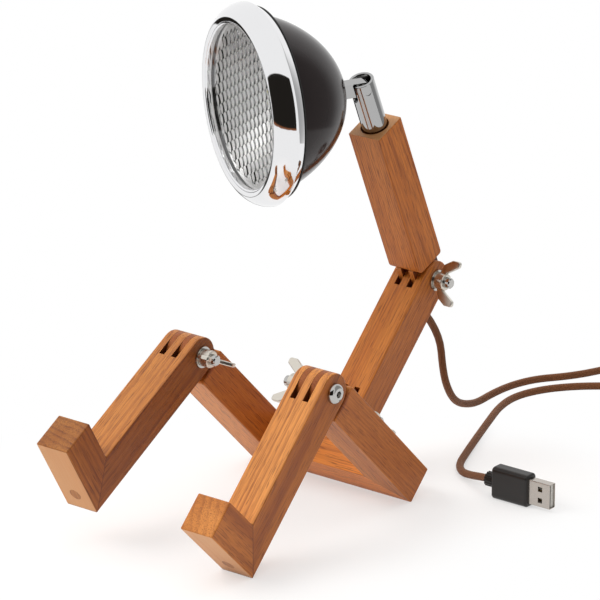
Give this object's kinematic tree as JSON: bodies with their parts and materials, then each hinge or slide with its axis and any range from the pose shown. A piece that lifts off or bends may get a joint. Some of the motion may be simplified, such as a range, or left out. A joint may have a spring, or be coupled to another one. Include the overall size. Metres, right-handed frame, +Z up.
{
  "type": "robot desk lamp",
  "caption": "Seated wooden figure lamp with wing-nut finger joints, a tilting and swivelling headlight head on a chrome post and a USB cord.",
  "frame": {"origin": "middle of the seated lamp's footprint box, on the surface it sits on, measured without the cord and its plug", "axes": "+Z up, -Y the way the figure faces, +X to the figure's left"},
  "size_m": [0.1712, 0.394, 0.2289],
  "materials": {
    "ash_wood": "stained ash under satin lacquer, straight grain along each bar",
    "plug_wood": "stained ash plug, end grain",
    "nickel": "nickel-plated steel",
    "plated_steel": "zinc-plated steel",
    "chrome": "polished chrome plate",
    "bush_plastic": "moulded friction bush",
    "gland_rubber": "soft dark brown bush",
    "lead_sheath": "thin two-core sheath",
    "cord_textile": "braided brown textile over the flex",
    "tie": "plain strap",
    "plug_mould": "moulded dark brown plastic",
    "usb_shell": "nickel-plated sheet steel",
    "usb_tongue": "white moulded tongue",
    "usb_contacts": "gold-plated contact strips",
    "dark_enamel": "glossy near-black lacquer on spun steel",
    "lens_glass": "clear pressed glass with a honeycomb of small lenses",
    "gasket": "soft black ring",
    "reflector_metal": "bright anodised reflector",
    "board": "white circuit board",
    "led_dies": "phosphor-coated dies",
    "sink_metal": "cast fins, bead blasted"
  },
  "bodies": {
    "torso": {"torso_bar": "ash_wood", "cord_gland": "gland_rubber", "torso_lead": "lead_sheath", "hip_bolt": "nickel", "hip_washer": "nickel", "neck_bolt": "nickel", "neck_washer": "nickel", "cord": "cord_textile", "cord_tail": "cord_textile", "cord_coil": "cord_textile", "cord_tie": "tie", "plug_collar": "plug_mould", "plug_overmould": "plug_mould", "plug_shell": "usb_shell", "plug_tongue": "usb_tongue", "plug_contacts": "usb_contacts"},
    "hips": {"pelvis_bar": "ash_wood", "left_thigh": "ash_wood", "right_thigh": "ash_wood", "hip_tongue": "ash_wood", "left_mitre_dowel": "ash_wood", "right_mitre_dowel": "ash_wood"},
    "left_lower_leg": {"left_shin": "ash_wood", "left_foot": "ash_wood", "left_sole_plug": "plug_wood", "left_heel_screw": "plated_steel", "left_knee_bolt": "nickel", "left_knee_washer": "nickel"},
    "right_lower_leg": {"right_shin": "ash_wood", "right_foot": "ash_wood", "right_sole_plug": "plug_wood", "right_heel_screw": "plated_steel", "right_knee_bolt": "nickel", "right_knee_washer": "nickel"},
    "hip_nut": {"hip_wing_nut": "nickel"},
    "neck_nut": {"neck_wing_nut": "nickel"},
    "left_knee_nut": {"left_knee_wing_nut": "nickel"},
    "right_knee_nut": {"right_knee_wing_nut": "nickel"},
    "neck": {"neck_block": "ash_wood", "post_bush": "bush_plastic", "neck_lead": "lead_sheath"},
    "post": {"post_tube": "chrome", "post_clip": "plated_steel", "tilt_pin": "chrome", "tilt_spacers": "plated_steel"},
    "head": {"head_bracket": "chrome", "bracket_washer": "plated_steel", "bracket_nut": "plated_steel", "bowl": "dark_enamel", "bezel": "chrome", "lens": "lens_glass", "lens_gasket": "gasket", "reflector": "reflector_metal", "led_board": "board", "led_chip": "led_dies", "heat_sink": "sink_metal", "driver_board": "board"}
  },
  "joints": [
    {"name": "hip", "type": "hinge", "parent": "torso", "child": "hips", "pos_m": [0.00857, 0.05157, 0.02772], "axis": [1, 0, 0], "range_deg": [-45, 90]},
    {"name": "neck", "type": "hinge", "parent": "torso", "child": "neck", "pos_m": [0.00857, 0.10488, 0.08103], "axis": [1, 0, 0], "range_deg": [-115, 20]},
    {"name": "left_knee", "type": "hinge", "parent": "hips", "child": "left_lower_leg", "pos_m": [0.04657, -0.0207, 0.07], "axis": [1, 0, 0], "range_deg": [-180, 0]},
    {"name": "right_knee", "type": "hinge", "parent": "hips", "child": "right_lower_leg", "pos_m": [-0.02943, -0.0207, 0.07], "axis": [1, 0, 0], "range_deg": [-100, 15]},
    {"name": "head_swivel", "type": "hinge", "parent": "neck", "child": "post", "pos_m": [0.00857, 0.06893, 0.16354], "axis": [0, -0.3995, 0.9167], "range_deg": [-120, 180]},
    {"name": "head_tilt", "type": "hinge", "parent": "post", "child": "head", "pos_m": [0.00857, 0.06005, 0.18389], "axis": [0.8704, -0.4514, -0.1967], "range_deg": [-70, 25]},
    {"name": "hip_nut_turn", "type": "hinge", "parent": "torso", "child": "hip_nut", "pos_m": [0.01757, 0.05157, 0.02772], "axis": [1, 0, 0], "range_deg": [0, 180]},
    {"name": "neck_nut_turn", "type": "hinge", "parent": "torso", "child": "neck_nut", "pos_m": [0.01757, 0.10488, 0.08103], "axis": [1, 0, 0], "range_deg": [0, 180]},
    {"name": "left_knee_nut_turn", "type": "hinge", "parent": "left_lower_leg", "child": "left_knee_nut", "pos_m": [0.03757, -0.0207, 0.07], "axis": [-1, 0, 0], "range_deg": [0, 180]},
    {"name": "right_knee_nut_turn", "type": "hinge", "parent": "right_lower_leg", "child": "right_knee_nut", "pos_m": [-0.02043, -0.0207, 0.07], "axis": [1, 0, 0], "range_deg": [0, 180]}
  ]
}
